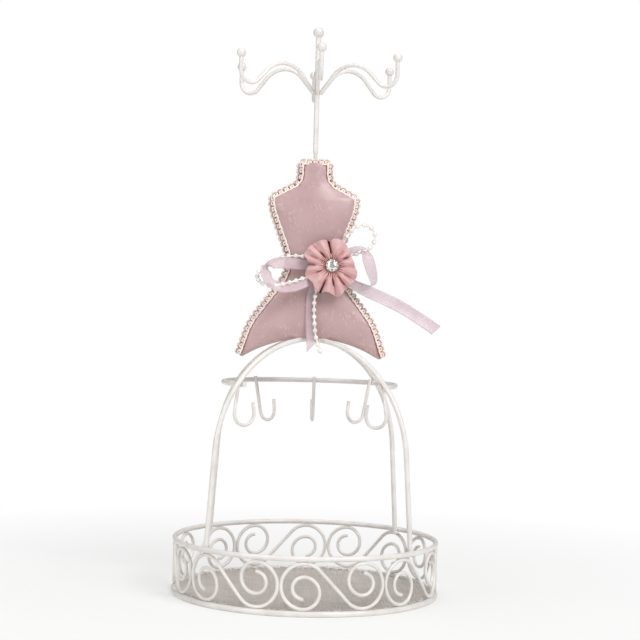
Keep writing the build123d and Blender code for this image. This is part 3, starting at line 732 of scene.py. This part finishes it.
knot = ribbon_strip(
    "ribbon_knot",
    [(9.2, -9.9, 190.6), (9.2, -12.4, 190.8), (9.1, -13.2, 194.0), (9.0, -13.2, 197.5),
     (8.9, -12.4, 200.4), (8.8, -9.9, 200.6)],
    [(1, 0, 0.05)] * 6,
    [1.3] * 6,
)
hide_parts("bow_knot")

# Flower: a strip of peach crepe, folded double, gathered by hand on a thread into a dozen uneven petals
# and sewn to a round of felt. Deep folds part the petals, and small gathers run out from the middle.
flower_middle = np.array([10.8, 0, 196.2]) * mm
flower_back = -14.6 * mm
petal_thickness = 1.1 * mm
eye_radius = 3.5 * mm
fold_places = np.array(  # degrees from +X, share of the deepest, and shares of the way out from and to
    [(-155, 0.35, 0.30, 0.60), (-113, 1.0, 0.50, 1.15), (-84, 1.0, 0.36, 0.60), (-57, 0.5, 0.30, 0.90),
     (-33, 0.25, 0.45, 0.80), (-6, 0.1, 0.30, 0.60), (29, 0.7, 0.45, 0.85), (52, 0.2, 0.30, 0.70),
     (97, 1.0, 0.35, 1.10), (132, 0.9, 0.25, 0.55), (156, 0.2, 0.45, 0.80), (179, 0.6, 0.70, 1.15)]
)
rim_places = np.array(  # angle, and reach of the rim in mm
    [(-169, 14.9), (-160, 16.3), (-147, 15.2), (-137, 14.8), (-122, 16.9), (-110, 17.3),
     (-104, 15.2), (-95, 15.5), (-77, 18.5), (-68, 17.2), (-58, 15.0), (-42, 15.3), (-26, 15.6),
     (-13, 14.9), (0, 12.9), (18, 12.2), (32, 12.1), (45, 13.1), (61, 14.9), (79, 15.6),
     (90, 15.2), (97, 13.9), (110, 15.5), (125, 16.0), (141, 16.8), (160, 17.3), (171, 13.9),
     (180, 12.9)]
)
rim_waves = 60  # about as many waves round the rim as stay sharp
ring_base = 1.2 * mm  # height of the cloth at the eye
ring_rise = 2.6 * mm  # and of the ring above that
bulge_share = 0.40  # of a petal's width
bulge_most = 3.4 * mm
lap_height = 0.9 * mm  # of one petal over the next
gather_height = 0.5 * mm
gather_middle, gather_spread = 0.14, 0.26  # shares of the way out
crumple_height = 0.22 * mm
fold_sway = 0.10  # radians that folds wander on their way out
fold_depth = 3.4 * mm
fold_half_width = 0.8 * mm
fold_lead, fold_ease = 0.16, 0.10  # shares of the way out, outside and inside a fold's ends
fold_shadow, valley_shadow, crease_shadow = 0.9, 0.35, 2.2
felt_gap = 0.2 * mm  # least height of the cloth over the felt
flower_rows = 46
rim_rows = 7
flower_columns = 900
around = np.arange(flower_columns) * 2 * pi / flower_columns - pi
rim = np.interp(around, np.radians(rim_places[:, 0]), rim_places[:, 1] * mm, period=2 * pi)
waves_kept = np.exp(-((np.arange(flower_columns // 2 + 1) / rim_waves) ** 2))
rim = np.fft.irfft(np.fft.rfft(rim) * waves_kept, flower_columns)
fold_angle = np.radians(np.concatenate([fold_places[:, 0] + once for once in (-360, 0, 360)]))
fold_share, fold_from, fold_to = np.tile(fold_places[:, 1:], (3, 1)).T


def step_up(value, low, high):
    """0 below low, 1 above high, and 3 t^2 - 2 t^3 between."""
    t = np.clip((value - low) / (high - low), 0, 1)
    return t * t * (3 - 2 * t)


def petals(out):
    """Reach, height and shadow of the cloth at a share of the way out. The height is a raised ring, a
    bulge sin(pi t) ^ 2 over each petal in proportion to its width, a bell-shaped fold between petals,
    and gathers that die away from the middle. Folds, valleys and gathers are in shadow."""
    reach = eye_radius + (rim - eye_radius) * out
    angle = around + fold_sway * (out - 0.6) * np.sin(2 * around + 1.0)
    number = np.interp(angle, fold_angle, np.arange(len(fold_angle)))
    t = number % 1
    before = fold_angle[number.astype(int)]
    after = fold_angle[number.astype(int) + 1]
    fold = np.rint(number).astype(int)
    nearest = fold_share[fold]
    gap = np.minimum(angle - before, after - angle) * reach
    ring = ring_base + ring_rise * np.sin(pi * 0.9 * out**0.7)
    bulge = np.minimum(bulge_share * (after - before) * reach, bulge_most)
    bulge = bulge * np.sin(pi * t) ** 2 * step_up(out, 0, 0.6)
    lap = lap_height * (t - 0.5) * step_up(out, 0.2, 0.7) * nearest
    begun = step_up(out - fold_from[fold], -fold_lead, fold_ease)
    there = begun * step_up(fold_to[fold] - out, -fold_ease, fold_lead)
    bell = np.exp(-((gap / (fold_half_width * (0.5 + 0.5 * out))) ** 2)) * nearest * there
    gathers = gather_height * np.exp(-(((out - gather_middle) / gather_spread) ** 2))
    gathers = gathers * np.sin(5 * pi * number + 1.2 * np.sin(5 * around))
    crumple = crumple_height * np.sin(7 * around + 5 * out) * np.sin(4 * around - 8 * out + 1)
    height = ring + bulge + lap + gathers + crumple - fold_depth * bell
    valley = (1 - np.sin(pi * t)) ** 2 * step_up(1.0 - out, 0, 0.8)
    creases = np.maximum(-gathers / mm, 0) ** 1.5 * crease_shadow
    shadow = np.clip(fold_shadow * bell + valley_shadow * valley + creases, 0, 1)
    return reach, height, shadow


out = np.linspace(0, 1, flower_rows)[:, None]
front_reach, front_height, front_shadow = petals(out)
roll_angle = np.linspace(0, pi, rim_rows + 2)[1:-1, None]
edge_height = front_height[-1:] - petal_thickness / 2 * (1 - np.cos(roll_angle))
edge_reach = rim + petal_thickness / 2 * np.sin(roll_angle)
back_reach, back_height, back_shadow = petals(out[::-2])
heights = np.concatenate([front_height, edge_height, back_height - petal_thickness])
heights = np.maximum(heights, felt_gap)
reaches = np.concatenate([front_reach, edge_reach, back_reach])
shadows = np.concatenate([front_shadow, np.repeat(front_shadow[-1:], rim_rows, axis=0), back_shadow])
petal_points = flower_middle + np.stack(
    [
        reaches * np.cos(around),
        flower_back - heights,
        reaches * np.sin(around),
    ],
    axis=-1,
)

# Crepe is matt with a fine pebbly grain. Its folds, valleys and gathers are painted a deeper red:
# painted shade.
patch_size = 5 * mm
grain_size = 0.35 * mm
crepe, tree, shader, place = start_material("peach polyester crepe")
drift = add_node(tree, "TexNoise", {"Vector": place, "Scale": 1 / patch_size, "Detail": 3.0})
tint = add_node(tree, "ValToRGB", {"Fac": drift.outputs["Fac"]})
tint.color_ramp.elements[0].position = 0.3
tint.color_ramp.elements[0].color = linear("#D0A3A2")
tint.color_ramp.elements[1].position = 0.7
tint.color_ramp.elements[1].color = linear("#DEB8B7")
grain = add_node(tree, "TexNoise", {"Vector": place, "Scale": 1 / grain_size, "Detail": 1.0})
bump = add_node(tree, "Bump", {"Height": grain.outputs["Fac"], "Strength": 0.3, "Distance": 0.1 * mm})
# Painted shade: the shadow attribute mixes a deeper red into folds, valleys and gathers.
painted_shade_share = add_node(tree, "Attribute", {}, attribute_name="shadow")
fold_shade_mix = add_node(
    tree, "Mix",
    {mix_share: painted_shade_share.outputs["Fac"], mix_from: tint.outputs["Color"], mix_to: linear("#AE5F59")},
    data_type="RGBA",
)
tree.links.new(fold_shade_mix.outputs[mix_result], shader.inputs["Base Color"])
tree.links.new(bump.outputs["Normal"], shader.inputs["Normal"])
shader.inputs["Roughness"].default_value = 0.62
shader.inputs["Sheen Weight"].default_value = 0.4
shader.inputs["Sheen Tint"].default_value = linear("#F7DEDC")
flower = make_piece("gathered_flower", petal_points, tube_faces(petal_points), crepe)
flower.data.attributes.new("shadow", "FLOAT", "POINT").data.foreach_set("value", shadows.ravel())
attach(flower, "rack")
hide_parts("flower_petals")
coat("flower_backing", crepe)

# Stone: foil-backed cut glass, held by claws in a small cup of silver-plated brass. The cup is sewn
# through the middle of the flower, where it hides the thread.

# Plate is bright, and fine scuffs soften what it reflects.
scuff_size = 0.8 * mm
plate, tree, shader, place = start_material("silver-plated brass")
scuff = add_node(tree, "TexNoise", {"Vector": place, "Scale": 1 / scuff_size, "Detail": 3.0})
gloss = add_node(tree, "MapRange", {"Value": scuff.outputs["Fac"], "To Min": 0.16, "To Max": 0.34})
tree.links.new(gloss.outputs["Result"], shader.inputs["Roughness"])
shader.inputs["Base Color"].default_value = linear("#EDE9E2")
shader.inputs["Metallic"].default_value = 0.8
coat("stone_setting", plate)

stone_low, stone_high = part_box("stone")
stone_radius = (stone_high.x - stone_low.x) / 2
facets = 8
ring_shares = np.array([0.0, 0.52, 0.80, 1.0, 0.98, 0.0])  # of its radius, from the table to the point
ring_heights = np.array([1.0, 1.0, 0.74, 0.46, 0.40, 0.0])  # of its height
ring_turns = np.array([0, 0, 0.5, 1, 1, 1])  # of a facet
angle = (np.arange(facets) + ring_turns[:, None]) * 2 * pi / facets
ring_radii = ring_shares[:, None] * stone_radius
ring_depths = (stone_high.y + (stone_low.y - stone_high.y) * ring_heights)[:, None]
stone_points = flower_middle + np.stack(
    np.broadcast_arrays(ring_radii * np.cos(angle), ring_depths, ring_radii * np.sin(angle)), axis=-1
)

claw_count = 10
claw_radius = 0.5 * mm
claw_sides = 10
claw_circle = 1.04 * stone_radius
claw_angle = np.arange(claw_count)[:, None] * 2 * pi / claw_count
sweep = np.linspace(0.15, pi - 0.15, 9)  # round a claw's tip, short of its two poles
claw_depths = (stone_low.y + stone_high.y) / 2 + claw_radius * np.cos(sweep)
claw_lines = flower_middle + np.stack(
    np.broadcast_arrays(
        claw_circle * np.cos(claw_angle), claw_depths, claw_circle * np.sin(claw_angle)
    ),
    axis=-1,
)
claw_radii = np.broadcast_to(claw_radius * np.sin(sweep), claw_lines.shape[:2])
rings = tube(claw_lines, claw_radii, claw_sides)
claws = make_piece("stone_claws", rings, tube_faces(rings), plate)
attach(claws, "rack")

# Cut glass over foil, painted bright in some patches and dark in others: painted glints and painted dark
# reflections.
glint_patch_size = 1.3 * mm
crystal, tree, shader, place = start_material("foil-backed cut glass")
painted_glints = add_node(tree, "TexVoronoi", {"Vector": place, "Scale": 1 / glint_patch_size}, feature="F1")
tint = add_node(tree, "ValToRGB", {"Fac": painted_glints.outputs["Color"]})
tint.color_ramp.interpolation = "CONSTANT"
tint.color_ramp.elements[0].color = linear("#8C847B")
tint.color_ramp.elements[1].position = 0.32
tint.color_ramp.elements[1].color = linear("#F6F4F0")
tree.links.new(tint.outputs["Color"], shader.inputs["Base Color"])
shader.inputs["Metallic"].default_value = 0.75
shader.inputs["Roughness"].default_value = 0.07
stone = make_piece("cut_stone", stone_points, tube_faces(stone_points), crystal, smooth=False)
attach(stone, "rack")
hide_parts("stone")

# Setting: a plain white table that runs into a white room, with soft daylight from a window on the right
# and the room's walls filling the shadows.
table_half = 4.0
table_grid = np.array([[(-1, -1, 0), (1, -1, 0)], [(-1, 1, 0), (1, 1, 0)]], float) * table_half

# White paint is matt. It takes the rack's soft shadow near it, and far away it is as white as the room.
near_rack, far_away = 0.10, 0.42  # from the axis: the table runs into the white room between them
near_white, far_white = 0.35, 1.0  # shares of the room's white there
white_table, tree, shader, place = start_material("white painted table")
shader.inputs["Base Color"].default_value = linear("#F4F4F3")
shader.inputs["Roughness"].default_value = 0.6
shader.inputs["Specular IOR Level"].default_value = 0.2
away = add_node(tree, "VectorMath", {0: place}, operation="LENGTH")
blank = add_node(
    tree, "MapRange",
    {"Value": away.outputs["Value"], "From Min": near_rack, "From Max": far_away,
     "To Min": near_white, "To Max": far_white},
)
ray = add_node(tree, "LightPath", {})
seen = add_node(
    tree, "Math", {0: ray.outputs["Is Camera Ray"], 1: ray.outputs["Is Glossy Ray"]}, operation="MAXIMUM"
)
white_share = add_node(
    tree, "Math", {0: blank.outputs["Result"], 1: seen.outputs["Value"]}, operation="MULTIPLY"
)
glow = add_node(tree, "Emission", {"Color": linear("#FFFFFF"), "Strength": 1.0})
mixed = add_node(
    tree, "MixShader",
    {0: white_share.outputs["Value"], 1: shader.outputs["BSDF"], 2: glow.outputs["Emission"]},
)
tree.links.new(mixed.outputs["Shader"], tree.nodes["Material Output"].inputs["Surface"])
table = make_piece("table", table_grid, quads(np.arange(4).reshape(2, 2)), white_table, smooth=False)

# The room is white to the eye and through clear things, and it lights the rack more dimly than it looks.
room_light = 0.22
world = bpy.data.worlds.new("white room")
bpy.context.scene.world = world
world.use_nodes = True
tree = world.node_tree
room = tree.nodes["Background"]
room.inputs["Color"].default_value = linear("#FFFFFF")
ray = add_node(tree, "LightPath", {})
seen = add_node(
    tree, "Math",
    {0: ray.outputs["Is Camera Ray"], 1: ray.outputs["Is Transmission Ray"]}, operation="MAXIMUM",
)
strength = add_node(
    tree, "MapRange", {"Value": seen.outputs["Value"], "To Min": room_light, "To Max": 1.0}
)
tree.links.new(strength.outputs["Result"], room.inputs["Strength"])

lamp_target = Vector((0, 0, 0.16))


def add_lamp(name, place, size, power):
    """A square area lamp that faces the bust."""
    lamp_data = bpy.data.lights.new(name, "AREA")
    lamp_data.size = size
    lamp_data.energy = power
    lamp = bpy.data.objects.new(name, lamp_data)
    aim = lamp_target - Vector(place)
    turned = aim.to_track_quat("-Z", "Y").to_matrix().to_4x4()
    lamp.matrix_world = Matrix.Translation(place) @ turned
    bpy.context.scene.collection.objects.link(lamp)


add_lamp("window", (1.2, -1.65, 1.8), 1.35, 47)
add_lamp("room_fill", (-1.2, -0.9, 0.7), 1.0, 8)
add_lamp("top", (-0.1, 0.3, 2.6), 1.6, 23)
bpy.context.scene.view_settings.view_transform = "Standard"
